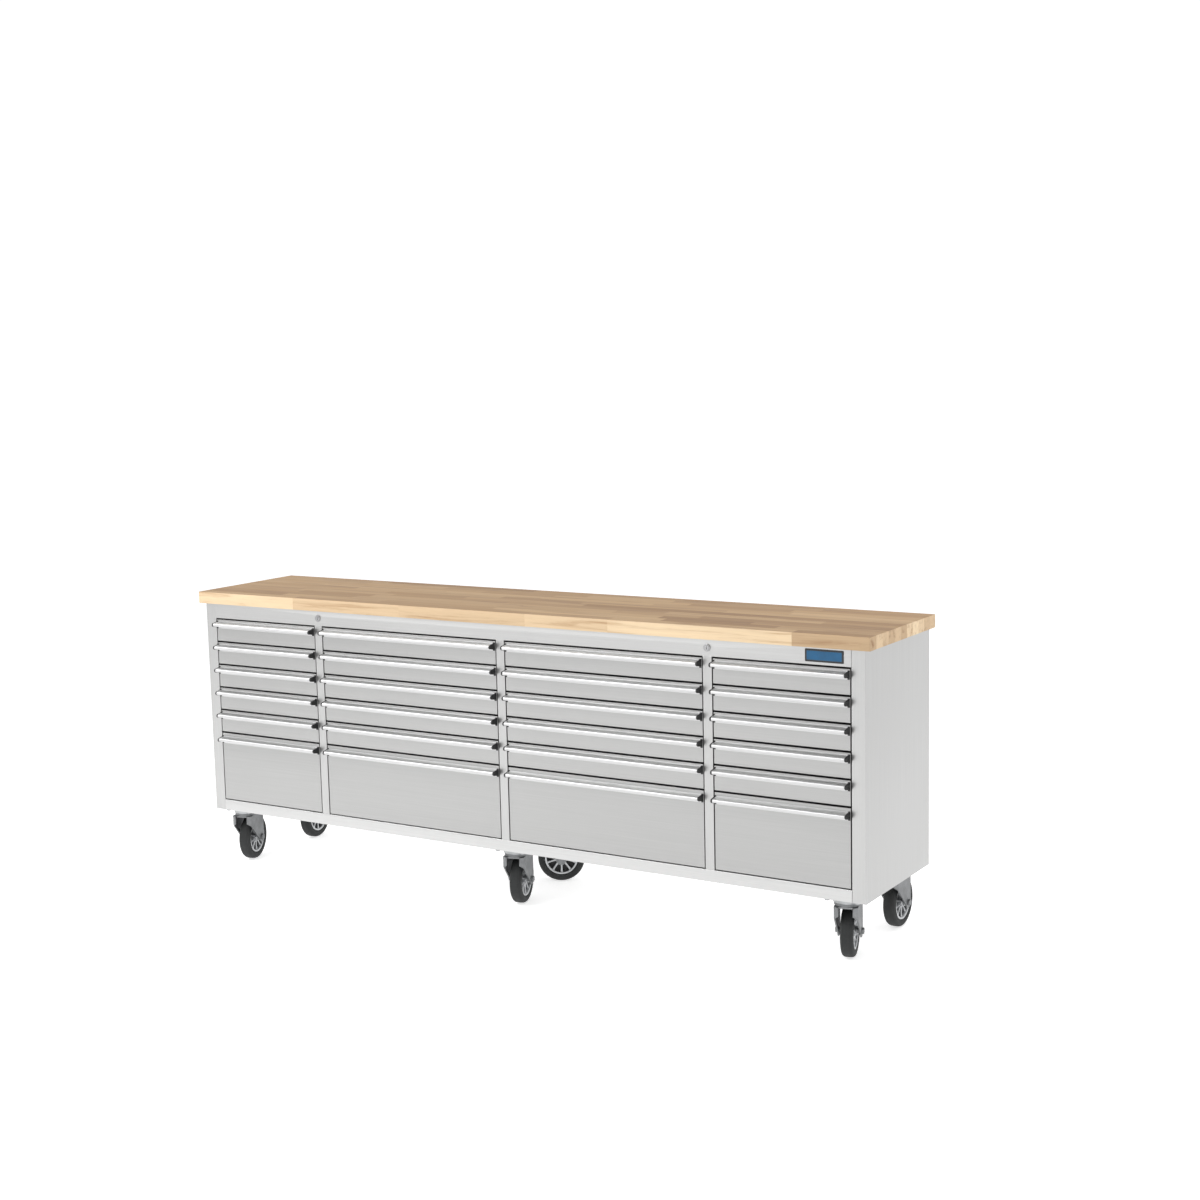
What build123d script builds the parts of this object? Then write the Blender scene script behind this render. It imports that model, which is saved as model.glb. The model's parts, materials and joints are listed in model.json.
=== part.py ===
from build123d import *
import os
from math import cos, sin, radians

os.makedirs("parts", exist_ok=True)

# Rolling workbench tool chest: four columns of six drawers under a timber worktop, on six casters.
# Millimetres. X runs along the bench, -Y is the drawer side, Z is up, the floor is at Z = 0.
# The origin lies on the floor, midway along the length and midway between the handles' noses
# and the back of the straight-trailing rear wheel.

# ---- overall ----
body_len = 2400.0
body_deep = 456.0
skirt_drop = 2.5
top_thick = 38.0
top_over_end = 19.0
top_over_front = 14.0
top_edge_r = 3.0

# ---- front layout ----
narrow_w = 426.0
wide_w = 682.0
stile_w = 32.0
top_rail_h = 51.0
bottom_rail_h = 37.0
shallow_h = 77.5
deep_h = 233.5
shallow_rows = 5
reveal = 3.0
head_reveal = 5.0
sheet = 1.2
rail_return = 20.0

# ---- drawers ----
front_deep = 18.0
front_bend_r = 1.5
front_flange = 14.0
drawer_sheet = 1.0
pan_back_gap = 32.0
pan_low = 8.0
pan_shallow_h = 58.0
pan_deep_h = 186.0
hem = 6.0
liner_t = 2.0
liner_gap = 1.0

# ---- ball slides ----
slide_space = 12.5
slide_t = 1.5
slide_h = 36.0
slide_up = 28.0
slide_start = 22.0
slide_back_gap = 34.0
slide_clear = 0.4
outer_lip = 10.5
inner_lip = 3.0

# ---- handles ----
handle_out = 27.4
handle_side_gap = 0.8
cap_t = 6.0
deep_handle_drop = 5.0

# ---- locks ----
core_r = 7.5
core_clear = 0.05
barrel_r = 9.2
lock_flange_r = 11.0
lock_flange_t = 2.0
lock_hole_clear = 0.3
barrel_len = 18.0
lock_nut_r = 13.0
lock_nut_t = 4.0
cam_reach = 8.0
cam_tip_r = 3.5
cam_t = 3.5
cam_gap = 1.0
cam_start = -45.0

# ---- badge ----
badge_w = 116.0
badge_h = 36.0
badge_t = 1.6
badge_inset = 20.0

# ---- casters ----
wheel_r = 76.0
tyre_w = 38.0
tyre_inner_r = 54.0
tyre_shoulder_r = 8.0
rim_in_r = 47.0
rim_w = 32.0
hub_r = 15.0
hub_w = 46.0
spokes = 10
spoke_w = 7.0
spoke_w_axial = 22.0
web_t = 3.0
axle_r = 6.0
sleeve_r = 8.0
run_clear = 0.05
trail = 38.0
leg_in = 30.0
leg_t = 4.0
leg_top = 76.0
leg_fold = 11.0
leg_foot_r = 17.0
wheel_clear = 8.0
crown_t = 5.0
crown_half_w = 34.0
race_in_r = 24.0
lower_race_r = 39.0
upper_race_r = 42.0
race_up = 13.8
race_gap = 0.3
plate_t = 6.0
plate_clear = 12.0
head_h = 30.5
plate_x = 115.0
plate_y = 100.0
bolt_dx = 92.0
bolt_dy = 76.0
bolt_r = 4.0
bolt_hole_r = 4.5
hex_af_r = 7.5
bolt_head_t = 5.3
kingpin_r = 10.0
kingpin_head_r = 15.0
kingpin_head_t = 5.0
front_inset = 60.0
back_inset = 76.0
end_inset = 82.0

# ---- brake pedals, on the front casters ----
pedal_pivot_y = 48.0
pedal_pivot_down = 2.0
pedal_pin_r = 3.0
pedal_t = 3.0
pedal_w = 44.0
pedal_foot_w = 60.0
pedal_len = 66.0
pedal_drop = 14.0

# ---- base ----
pan_t = 2.0
beam_w = 118.0
beam_h = 26.0
beam_t = 3.0
beam_end_gap = 24.0
hat_w = 40.0
hat_front = 112.0
hat_back_gap = 96.0

# ---- worktop screws ----
screw_r = 2.5
screw_head_r = 6.0
screw_head_t = 2.5
screw_len = 26.0
screw_bore_clear = 0.05

# ---- derived positions ----
front_y = -(body_deep - back_inset + trail + wheel_r - handle_out) / 2
back_y = front_y + body_deep
crown_low = 2 * wheel_r + wheel_clear
race_split = crown_low + race_up
caster_h = crown_low + head_h
pedal_pivot_z = crown_low - pedal_pivot_down
pan_end = body_deep - pan_back_gap
slide_len = body_deep - slide_start - slide_back_gap
low_z = caster_h - skirt_drop
rail_z = low_z + bottom_rail_h
drawers_h = deep_h + shallow_rows * shallow_h
head_z = rail_z + drawers_h
deck_z = head_z + top_rail_h
pan_z = caster_h + pan_t
half = body_len / 2
post_w = (body_len - 2 * narrow_w - 2 * wide_w - 3 * stile_w) / 2
col_w = [narrow_w, wide_w, wide_w, narrow_w]
col_x = [-half + post_w]
for i in range(3):
    col_x.append(col_x[i] + col_w[i] + stile_w)
row_z = [rail_z]
row_h = [deep_h]
for i in range(shallow_rows):
    row_z.append(rail_z + deep_h + i * shallow_h)
    row_h.append(shallow_h)
stile_x = [col_x[i + 1] - stile_w / 2 for i in range(3)]
lock_z = deck_z - top_rail_h / 2
lock_x = [stile_x[0], stile_x[2]]
caster_spots = {
    "fl": (-half + end_inset, front_inset, 16.5),
    "fm": (0.0, front_inset, 16.5),
    "fr": (half - end_inset, front_inset, 15.5),
    "rl": (-half + end_inset, body_deep - back_inset, 8.0),
    "rm": (0.0, body_deep - back_inset, 121.5),
    "rr": (half - end_inset, body_deep - back_inset, 0.0),
}


def block(x0, x1, y0, y1, z0, z1):
    """A box between two corners, with y counted back from the drawer fronts."""
    size = Box(x1 - x0, y1 - y0, z1 - z0)
    return Pos((x0 + x1) / 2, front_y + (y0 + y1) / 2, (z0 + z1) / 2) * size


def joined(shapes):
    """Fuses overlapping or touching shapes into one solid."""
    whole = shapes[0]
    for shape in shapes[1:]:
        whole = whole + shape
    return whole


def save(name, shapes):
    """Writes one node, each separate piece as its own solid."""
    solids = []
    for shape in shapes:
        solids.extend(shape.solids())
    export_step(Compound(solids), "parts/" + name + ".step")


def rod_y(r, x, y0, y1, z):
    """A round bar along Y."""
    bar = Rot(90, 0, 0) * Cylinder(r, y1 - y0)
    return Pos(x, front_y + (y0 + y1) / 2, z) * bar


def rod_z(r, x, y, z0, z1):
    """A round bar along Z, in plain coordinates."""
    return Pos(x, y, (z0 + z1) / 2) * Cylinder(r, z1 - z0)


def hex_z(r, x, y, z0, z1):
    """A hexagonal bar along Z whose corners lie at radius r."""
    prism = extrude(RegularPolygon(r, 6), z1 - z0)
    return Pos(x, y, z0) * prism


# ---- cabinet shell ----
def side_panel(sign):
    """Outer sheet with the front post face, its inner return and a back flange."""
    edge = sign * half
    inner = sign * (half - sheet)
    post = sign * (half - post_w + reveal / 2)
    post_in = sign * (half - post_w + reveal / 2 + sheet)
    flange = sign * (half - 18.0)
    top = deck_z - sheet
    skin = block(min(edge, inner), max(edge, inner), 0, body_deep - sheet, low_z, top)
    face = block(min(edge, post), max(edge, post), 0, sheet, low_z, top)
    fold = block(min(post, post_in), max(post, post_in), 0, rail_return, pan_z + plate_clear, top)
    rear = block(min(edge, flange), max(edge, flange), body_deep - 2 * sheet, body_deep - sheet, pan_z, top)
    return joined([skin, face, fold, rear])


save("left_side", [side_panel(-1)])
save("right_side", [side_panel(1)])

rear_skin = block(-half, half, body_deep - sheet, body_deep, low_z, deck_z - sheet)
save("back_panel", [rear_skin])

rail_end = half - post_w + reveal / 2
rail_bottom = head_z + reveal / 2
rail_top = deck_z - sheet
head_face = block(-rail_end, rail_end, 0, sheet, rail_bottom, rail_top)
head_low = block(-rail_end, rail_end, 0, rail_return, rail_bottom, rail_bottom + sheet)
head_high = block(-rail_end, rail_end, 0, rail_return, rail_top - sheet, rail_top)
head = joined([head_face, head_low, head_high])
for x in lock_x:
    head = head - rod_y(barrel_r + lock_hole_clear, x, -1, sheet + 1, lock_z)
save("top_rail", [head])

foot_top = rail_z - reveal / 2
foot_face = block(-rail_end, rail_end, 0, sheet, low_z, foot_top)
foot_high = block(-rail_end, rail_end, 0, rail_return, foot_top - sheet, foot_top)
save("bottom_rail", [joined([foot_face, foot_high])])

# The base pan carries the cabinet; each lengthwise end turns up against the side panels.
pan_in = half - sheet
floor_pan = block(-pan_in, pan_in, rail_return, body_deep - 2 * sheet, caster_h, pan_z)
floor_front = block(-rail_end, rail_end, sheet, rail_return, caster_h, pan_z)
pan_rear = block(-pan_in + 20, pan_in - 20, body_deep - 2 * sheet - pan_t, body_deep - 2 * sheet, caster_h, pan_z + 20)
base = joined([floor_pan, floor_front, pan_rear])
beams = []
for x in [-half + end_inset, 0.0, half - end_inset]:
    inside = beam_w / 2 - beam_t
    hollow = block(x - inside, x + inside, 0, body_deep, pan_z, pan_z + beam_h - beam_t)
    channel = block(x - beam_w / 2, x + beam_w / 2, beam_end_gap, body_deep - beam_end_gap, pan_z, pan_z + beam_h)
    beams.append(channel - hollow)

# ---- deck under the worktop ----
deck = block(-half, half, 0, body_deep, deck_z - sheet, deck_z)
worktop_x = half + top_over_end
worktop = block(-worktop_x, worktop_x, -top_over_front, body_deep, deck_z, deck_z + top_thick)
worktop = fillet(worktop.edges(), top_edge_r)
screws = []
for x in [-half + 90, -half / 3, half / 3, half - 90]:
    for y in [front_y + 70, back_y - 70]:
        bore = rod_z(screw_r + screw_bore_clear, x, y, deck_z - sheet - 1, deck_z + screw_len)
        deck = deck - bore
        worktop = worktop - bore
        head_disc = rod_z(screw_head_r, x, y, deck_z - sheet - screw_head_t, deck_z - sheet)
        shank = rod_z(screw_r, x, y, deck_z - sheet - screw_head_t, deck_z + screw_len - 1)
        screws.append(joined([head_disc, shank]))
save("worktop", [worktop])
save("top_frame", [deck])


# ---- dividers: the stile face and two side sheets as one folded box ----
for i in range(3):
    x = stile_x[i]
    w = stile_w / 2 - reveal / 2
    foot = pan_z + beam_h if i == 1 else pan_z
    pieces = [block(x - w, x + w, 0, sheet, foot_top, rail_bottom)]
    for side in (-1, 1):
        a = x + side * w
        b = x + side * (w - sheet)
        lo = min(a, b)
        hi = max(a, b)
        pieces.append(block(lo, hi, 0, rail_return + 1, foot_top, rail_bottom))
        pieces.append(block(lo, hi, rail_return + 1, body_deep - 2 * sheet - pan_t, foot, deck_z - sheet))
    divider = joined(pieces)
    save("divider_" + str(i + 1), [divider])

# ---- fixed slide members, two per drawer ----
fixed_members = []
for c in range(4):
    for r in range(shallow_rows + 1):
        z = row_z[r] + reveal / 2 + slide_up
        for side in (-1, 1):
            wall = col_x[c] - reveal / 2 if side < 0 else col_x[c] + col_w[c] + reveal / 2
            into = -side
            web = sorted([wall, wall + into * slide_t])
            lip = sorted([wall, wall + into * outer_lip])
            y1 = slide_start + slide_len
            member = joined([
                block(web[0], web[1], slide_start, y1, z - slide_h / 2, z + slide_h / 2),
                block(lip[0], lip[1], slide_start, y1, z + slide_h / 2 - slide_t, z + slide_h / 2),
                block(lip[0], lip[1], slide_start, y1, z - slide_h / 2, z - slide_h / 2 + slide_t),
            ])
            fixed_members.append(member)

# The end columns' outer slides are fixed to vertical hat channels that stand on the beams beside the side panels.
posts = []
for side in (-1, 1):
    wall = side * (half - post_w + reveal / 2)
    skin_x = side * (half - sheet)
    for y in [hat_front, body_deep - hat_back_gap]:
        lo = min(wall, skin_x)
        hi = max(wall, skin_x)
        outer = block(lo, hi, y, y + hat_w, pan_z + beam_h, deck_z - sheet)
        gap_lo = lo if side < 0 else lo + sheet
        gap_hi = hi - sheet if side < 0 else hi
        posts.append(outer - block(gap_lo, gap_hi, y + sheet, y + hat_w - sheet, pan_z, deck_z))
save("slide_rails", fixed_members)
save("inner_frame", posts + beams)


# ---- handle profile, as seen from the bench's right-hand end ----
def handle_contour():
    """Flat back flange, sloping top, rounded nose and a lip that the fingers pull on."""
    with BuildSketch(Plane.YZ) as profile:
        with BuildLine():
            Polyline((-20.8, -13.0), (-2.2, -9.8), (-2.2, -8.0), (0, -8.0), (0, -33.0), (-2.2, -33.0),
                     (-2.2, -12.3), (-20.4, -15.3))
            ThreePointArc((-20.4, -15.3), (-24.0, -17.1), (-25.1, -20.4))
            Line((-25.1, -20.4), (-23.8, -27.6))
            ThreePointArc((-23.8, -27.6), (-24.7, -28.8), (-25.9, -28.1))
            Line((-25.9, -28.1), (-handle_out, -20.2))
            ThreePointArc((-handle_out, -20.2), (-25.9, -15.6), (-20.8, -13.0))
        make_face()
    return profile.sketch


def cap_contour():
    """Moulded end cap: the handle's outline, filled."""
    with BuildSketch(Plane.YZ) as profile:
        with BuildLine():
            Polyline((-20.8, -12.8), (-2.4, -9.4), (-2.4, -7.8), (0, -7.8), (0, -33.2), (-8.0, -33.2), (-25.9, -29.0))
            Line((-25.9, -29.0), (-handle_out, -20.2))
            ThreePointArc((-handle_out, -20.2), (-25.9, -15.4), (-20.8, -12.8))
        make_face()
    return profile.sketch


def drawer(width, height, pan_h, handle_drop):
    """One drawer about its own front's lower left corner: x and z from the corner, y back."""
    w = width - reveal
    h = height - head_reveal
    shell = fillet_front(w, h)
    x0 = slide_space - reveal
    x1 = w - x0
    y0 = front_deep
    z0 = pan_low
    z1 = z0 + pan_h
    t = drawer_sheet
    box = local(x0, x1, y0, pan_end, z0, z1) - local(x0 + t, x1 - t, y0 + t, pan_end - t, z0 + t, z1 + 1)
    trim = [box]
    trim.append(local(x0, x0 + hem, y0, pan_end, z1 - t, z1))
    trim.append(local(x1 - hem, x1, y0, pan_end, z1 - t, z1))
    pan = joined(trim)
    g = liner_gap
    liner = local(x0 + t + g, x1 - t - g, y0 + t + g, pan_end - t - g, z0 + t, z0 + t + liner_t)
    pieces = [shell, pan, liner]
    y1 = slide_start + slide_len
    reach = slide_space - inner_lip
    top = slide_up + slide_h / 2 - slide_t - slide_clear
    low = slide_up - slide_h / 2 + slide_t + slide_clear
    for side in (-1, 1):
        base_x = x0 if side < 0 else x1
        web = sorted([base_x, base_x + side * slide_t])
        lip = sorted([base_x, base_x + side * reach])
        pieces.append(joined([
            local(web[0], web[1], slide_start, y1, low, top),
            local(lip[0], lip[1], slide_start, y1, top - slide_t, top),
            local(lip[0], lip[1], slide_start, y1, low, low + slide_t),
        ]))
    rise = height - reveal / 2 - handle_drop
    grip_w = w - 2 * handle_side_gap - 2 * cap_t
    grip = extrude(handle_contour(), grip_w)
    pieces.append(Pos(handle_side_gap + cap_t, 0, rise) * grip)
    cap = extrude(cap_contour(), cap_t)
    pieces.append(Pos(handle_side_gap, 0, rise) * cap)
    pieces.append(Pos(w - handle_side_gap - cap_t, 0, rise) * cap)
    return pieces


def local(x0, x1, y0, y1, z0, z1):
    """A box between two corners in a drawer's own frame."""
    return Pos((x0 + x1) / 2, (y0 + y1) / 2, (z0 + z1) / 2) * Box(x1 - x0, y1 - y0, z1 - z0)


def fillet_front(w, h):
    """Folded sheet front: a face with returns all round and a flange that the pan is fixed to."""
    t = drawer_sheet
    outer = local(0, w, 0, front_deep, 0, h)
    edges = outer.faces().sort_by(Axis.Y)[0].edges()
    outer = fillet(edges, front_bend_r)
    hollow = outer - local(t, w - t, t, front_deep - t, t, h - t)
    f = front_flange
    return hollow - local(f, w - f, t, front_deep + 1, f, h - f)


for c in range(4):
    for kind in range(2):
        deep = kind == 0
        rows = [0] if deep else list(range(1, shallow_rows + 1))
        h = deep_h if deep else shallow_h
        pan_h = pan_deep_h if deep else pan_shallow_h
        drop = deep_handle_drop if deep else 0.0
        model = drawer(col_w[c], h, pan_h, drop)
        for r in rows:
            spot = Pos(col_x[c] + reveal / 2, front_y, row_z[r] + reveal / 2)
            number = shallow_rows + 1 - r
            save("drawer_c" + str(c + 1) + "r" + str(number), [spot * piece for piece in model])

# ---- locks ----
housings = []
for k, side in enumerate(["left", "right"]):
    x = lock_x[k]
    flange = rod_y(lock_flange_r, x, -lock_flange_t, 0, lock_z)
    barrel = rod_y(barrel_r, x, 0, barrel_len, lock_z)
    bore = rod_y(core_r + core_clear, x, -lock_flange_t - 1, barrel_len + 1, lock_z)
    housings.append(joined([flange, barrel]) - bore)
    nut = Pos(x, front_y + sheet + lock_nut_t, lock_z) * (Rot(90, 0, 0) * extrude(RegularPolygon(lock_nut_r, 6), lock_nut_t))
    housings.append(nut - rod_y(barrel_r, x, 0, barrel_len, lock_z))

    plug = rod_y(core_r, x, -lock_flange_t - 0.5, barrel_len + cam_gap, lock_z)
    key_slot = block(x - 0.7, x + 0.7, -lock_flange_t - 1, 8, lock_z - 4.5, lock_z + 4.5)
    cam_y0 = barrel_len + cam_gap
    cam_y1 = cam_y0 + cam_t
    tip_x = x + cam_reach * cos(radians(cam_start))
    tip_z = lock_z + cam_reach * sin(radians(cam_start))
    disc = rod_y(core_r, x, cam_y0, cam_y1, lock_z)
    tip = rod_y(cam_tip_r, tip_x, cam_y0, cam_y1, tip_z)
    save("lock_core_" + side, [joined([plug - key_slot, disc, tip])])
save("lock_housings", housings)

# ---- badge ----
badge_x1 = half - post_w - badge_inset
badge_mid = deck_z - 24.0
plate = block(badge_x1 - badge_w, badge_x1, -badge_t, 0, badge_mid - badge_h / 2, badge_mid + badge_h / 2)
corners = plate.edges().filter_by(Axis.Y)
save("badge", [fillet(corners, 3.0)])

# ---- casters ----
plate_bottom = caster_h - plate_t
crown_top = crown_low + crown_t
axle_z = wheel_r


def swivel_set(name, shapes):
    """Places shapes built about the kingpin at the caster's own spot and heading."""
    x, y, turn = caster_spots[name]
    return [Pos(x, front_y + y, 0) * Rot(0, 0, turn) * shape for shape in shapes]


def leg(side):
    """Pressed fork leg: flat web with its front edge folded towards the wheel, tapering to the axle."""
    o = leg_in + leg_t
    i = leg_in
    f = leg_fold
    a = leg_top / 2
    rear = trail + leg_foot_r
    ring = Polyline((-rear, o), (a, o), (a + f, o - f), (a + f - 3, o - f - 3.0), (a - 1.6, i), (-rear, i), (-rear, o))
    section = make_face(ring)
    bar = extrude(section, crown_top)
    turned = Rot(0, 0, -90) * bar
    if side < 0:
        turned = mirror(turned, about=Plane.YZ)
    outline = Polyline((-a - f, crown_top), (-a - f, crown_low - 18), (trail - leg_foot_r * 0.9, axle_z - 7),
                       (trail - leg_foot_r * 0.5, axle_z - leg_foot_r), (trail + leg_foot_r * 0.5, axle_z - leg_foot_r),
                       (trail + leg_foot_r, axle_z - 6), (pedal_pivot_y + 6, crown_low - 10), (pedal_pivot_y + 6, crown_top),
                       (-a - f, crown_top))
    cutter = extrude(Plane.YZ * make_face(outline), 80, both=True)
    return turned & cutter


def fork_body(braked):
    """Crown, two legs and the lower ball race, bored for the kingpin, axle and pedal pin."""
    a = leg_top / 2
    crown = Pos(0, 2, (crown_low + crown_top) / 2) * Box(2 * crown_half_w, leg_top + 8, crown_t)
    race = rod_z(lower_race_r, 0, 0, crown_top, race_split - race_gap)
    race = race - rod_z(race_in_r, 0, 0, crown_top + 1.5, race_split)
    body = joined([crown, leg(1), leg(-1), race])
    body = body - rod_z(kingpin_r + run_clear, 0, 0, crown_low - 1, race_split)
    body = body - (Pos(0, trail, axle_z) * Rot(0, 90, 0) * Cylinder(axle_r + run_clear, 90))
    if braked:
        hole = Pos(0, pedal_pivot_y, pedal_pivot_z) * Rot(0, 90, 0) * Cylinder(pedal_pin_r + run_clear, 90)
        body = body - hole
        relief = Pos(0, pedal_pivot_y, pedal_pivot_z + 2) * Box(pedal_w + 4, 16, 30)
        body = body - relief
    return body


def axle_set():
    """Axle bolt with its head, nut and the sleeve that the wheel turns on."""
    out = leg_in + leg_t
    turn = Pos(0, trail, axle_z) * Rot(0, 90, 0)
    sleeve = turn * (Cylinder(sleeve_r, 2 * leg_in) - Cylinder(axle_r, 2 * leg_in + 2))
    shank = turn * Cylinder(axle_r, 2 * out + 14)
    hexagon = extrude(RegularPolygon(9.8, 6), 6)
    bolt_head = turn * (Pos(0, 0, out) * hexagon)
    nut = turn * (Pos(0, 0, -out - 7) * (hexagon - Cylinder(axle_r, 30)))
    washer_near = turn * (Pos(0, 0, -out - 0.5) * (Cylinder(11, 1.0) - Cylinder(axle_r, 3)))
    bolt = (shank - (turn * (Pos(0, 0, out + 6 + 10) * Box(30, 30, 20)))) + bolt_head
    return [sleeve, bolt, nut, washer_near]


def wheel_body():
    """Tyre, spoked rim and closed centre web, turning on the axle sleeve."""
    half_w = tyre_w / 2
    turn = Pos(0, trail, axle_z) * Rot(0, 90, 0)
    outer = Cylinder(wheel_r, tyre_w)
    outer = fillet(outer.edges(), tyre_shoulder_r)
    tyre = outer - Cylinder(tyre_inner_r, tyre_w + 2)
    rim = Cylinder(tyre_inner_r, rim_w) - Cylinder(rim_in_r, rim_w + 2)
    parts = [rim, Cylinder(hub_r, hub_w), Cylinder(rim_in_r + 1, web_t)]
    mid_r = (hub_r + rim_in_r) / 2
    for k in range(spokes):
        arm = Pos(mid_r, 0, 0) * Box(rim_in_r - hub_r + 4, spoke_w, spoke_w_axial)
        parts.append(Rot(0, 0, k * 360 / spokes) * arm)
    core = joined(parts) - Cylinder(sleeve_r + run_clear, hub_w + 2)
    return [turn * tyre, turn * core]


def pedal_body():
    """Brake lever with its pivot pin, foot plate and the shoe above the tyre."""
    y = pedal_pivot_y
    z = pedal_pivot_z
    pin = Pos(0, y, z) * Rot(0, 90, 0) * Cylinder(pedal_pin_r, 2 * (leg_in + leg_t) + 4)
    hub = Pos(0, y, z) * Rot(0, 90, 0) * Cylinder(pedal_pin_r + 2.5, pedal_w)
    arm = Pos(0, y + 14, z + 1.5) * Box(pedal_w, 28, pedal_t)
    slope = Polyline((y + 26, z + 3), (y + 26, z), (y + pedal_len - 2, z - pedal_drop), (y + pedal_len, z - pedal_drop + 2),
                     (y + 28, z + 3), (y + 26, z + 3))
    foot = extrude(Plane.YZ * make_face(slope), pedal_foot_w / 2, both=True)
    shoe = Pos(0, y + 23, z - 3.5) * Box(30, 10, 8)
    lever = joined([hub, arm, foot, shoe])
    return [joined([lever, pin])]


plates = []
bolts = []
pan_holes = []
for name in caster_spots:
    braked = name in ("fl", "fm", "fr")
    x, y, turn = caster_spots[name]
    save("fork_" + name, swivel_set(name, [fork_body(braked)] + axle_set()))
    save("wheel_" + name, swivel_set(name, wheel_body()))
    if braked:
        save("pedal_" + name, swivel_set(name, pedal_body()))
    yy = front_y + y
    mount = Pos(x, yy, caster_h - plate_t / 2) * Box(plate_x, plate_y, plate_t)
    mount = mount + rod_z(upper_race_r, x, yy, race_split, plate_bottom)
    mount = mount - rod_z(race_in_r, x, yy, race_split - 1, plate_bottom - 2)
    mount = mount + rod_z(kingpin_r, x, yy, crown_low - kingpin_head_t, plate_bottom)
    rivet = rod_z(kingpin_head_r, x, yy, crown_low - race_gap - kingpin_head_t, crown_low - race_gap)
    mount = mount + rivet
    for sx in (-1, 1):
        for sy in (-1, 1):
            bx = x + sx * bolt_dx / 2
            by = yy + sy * bolt_dy / 2
            hole = rod_z(bolt_hole_r, bx, by, plate_bottom - 1, pan_z + 5)
            mount = mount - hole
            pan_holes.append(hole)
            shank = rod_z(bolt_r, bx, by, plate_bottom - 1, pan_z + 9)
            head_hex = hex_z(hex_af_r, bx, by, plate_bottom - bolt_head_t, plate_bottom)
            bolts.append(joined([shank, head_hex]))
            nut_hex = hex_z(hex_af_r, bx, by, pan_z, pan_z + 6)
            bolts.append(nut_hex - rod_z(bolt_r, bx, by, pan_z - 1, pan_z + 9))
    plates.append(mount)
for hole in pan_holes:
    base = base - hole
save("caster_plates", plates)
save("fasteners", bolts + screws)
save("base_pan", [base])
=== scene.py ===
import bpy
import bmesh
import json
import random
from math import cos, pi, radians, sin, tan
from mathutils import Matrix, Vector


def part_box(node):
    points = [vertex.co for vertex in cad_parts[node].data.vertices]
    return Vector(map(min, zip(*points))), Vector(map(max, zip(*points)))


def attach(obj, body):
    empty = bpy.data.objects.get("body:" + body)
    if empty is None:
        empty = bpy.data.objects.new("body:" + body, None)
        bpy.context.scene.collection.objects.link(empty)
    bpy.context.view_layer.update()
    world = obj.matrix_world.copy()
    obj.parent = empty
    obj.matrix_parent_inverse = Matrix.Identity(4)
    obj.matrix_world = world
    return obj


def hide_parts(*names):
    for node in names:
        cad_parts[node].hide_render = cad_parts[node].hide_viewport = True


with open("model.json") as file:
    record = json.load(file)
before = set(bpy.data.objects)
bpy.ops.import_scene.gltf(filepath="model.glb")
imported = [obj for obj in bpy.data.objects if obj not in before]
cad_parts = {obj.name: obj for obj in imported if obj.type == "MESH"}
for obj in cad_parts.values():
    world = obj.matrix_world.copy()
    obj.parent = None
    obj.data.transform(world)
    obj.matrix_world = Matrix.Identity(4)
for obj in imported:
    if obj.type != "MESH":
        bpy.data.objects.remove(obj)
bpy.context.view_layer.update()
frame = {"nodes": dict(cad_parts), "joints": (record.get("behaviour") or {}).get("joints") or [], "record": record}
joints = {j["name"]: j for j in frame["joints"]}
dice = random.Random(11)
bodies = frame["record"]["behaviour"]["bodies"]
body_of = {node: body for body, nodes in bodies.items() for node in nodes}

# ---- sizes that the model's boxes don't give, in metres ----
MM = 0.001
SHEET = 1.2 * MM
DRAWER_SHEET = 1.0 * MM
BEND = 1.6 * MM
FRONT_DEEP = 18 * MM
FRONT_FLANGE = 14 * MM
HEAD_GAP = 3.5 * MM
RETURN = 20 * MM
PAN_SIDE = 9.5 * MM
PAN_LOW = 8 * MM
PAN_H = {False: 58 * MM, True: 186 * MM}
HANDLE_DROP = {False: 0.0, True: 5 * MM}
HEM = 6 * MM
SIDE_GAP = 0.8 * MM
CAP = 6 * MM
RUNNER_START = 22 * MM
RUNNER_END = 422 * MM
RUNNER_MID = 28 * MM
RUNNER_HALF = 16.1 * MM
RUNNER_SHEET = 1.5 * MM
RUNNER_TIP = 9.5 * MM
DEEP_DRAWER = 150 * MM
LINER_PITCH = 9 * MM
STAVE_ROWS = 11
STAVE_SHORT = 0.26
STAVE_LONG = 0.6
STAVE_LEAST = 0.2
SLAB_ROUND = 3 * MM
GLUE_LINE = 0.12 * MM
SPOKES = 10

# ---- angles for merging, bevelling and smoothing copies of CAD nodes, in degrees ----
FLAT_ANGLE = 0.6
SHARP_ANGLE = 32
FINE_SMOOTH = 24.0

# ---- places read from the frame ----
front_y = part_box("top_rail")[0].y
top_low, top_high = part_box("worktop")
left_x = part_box("left_side")[0].x


# ---------------------------------------------------------------- camera
def add_camera():
    """A camera to the right of the bench's front, a little above the worktop."""
    yaw, pitch, roll = 0.555770, 0.136968, -0.022391
    right, ahead, above = 4.41742, 4.59906, 0.838457
    place = Vector((left_x + right, front_y - ahead, top_low.z + above))
    turn = Matrix.Rotation(yaw, 3, "Z")
    look = Matrix(((1, 0, 0), (0, 0, -1), (0, 1, 0)))
    tilt = Matrix(((1, 0, 0), (0, cos(pitch), -sin(pitch)), (0, sin(pitch), cos(pitch))))
    spin = Matrix(((cos(roll), -sin(roll), 0), (sin(roll), cos(roll), 0), (0, 0, 1)))
    view = spin @ tilt @ look @ turn.transposed()
    data = bpy.data.cameras.new("camera")
    data.sensor_width = 36
    data.lens = 56.085
    data.clip_end = 100
    cam = bpy.data.objects.new("camera", data)
    world = Matrix((view[0], -view[1], -view[2])).transposed().to_4x4()
    world.translation = place
    cam.matrix_world = world
    bpy.context.scene.collection.objects.link(cam)
    bpy.context.scene.camera = cam


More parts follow.
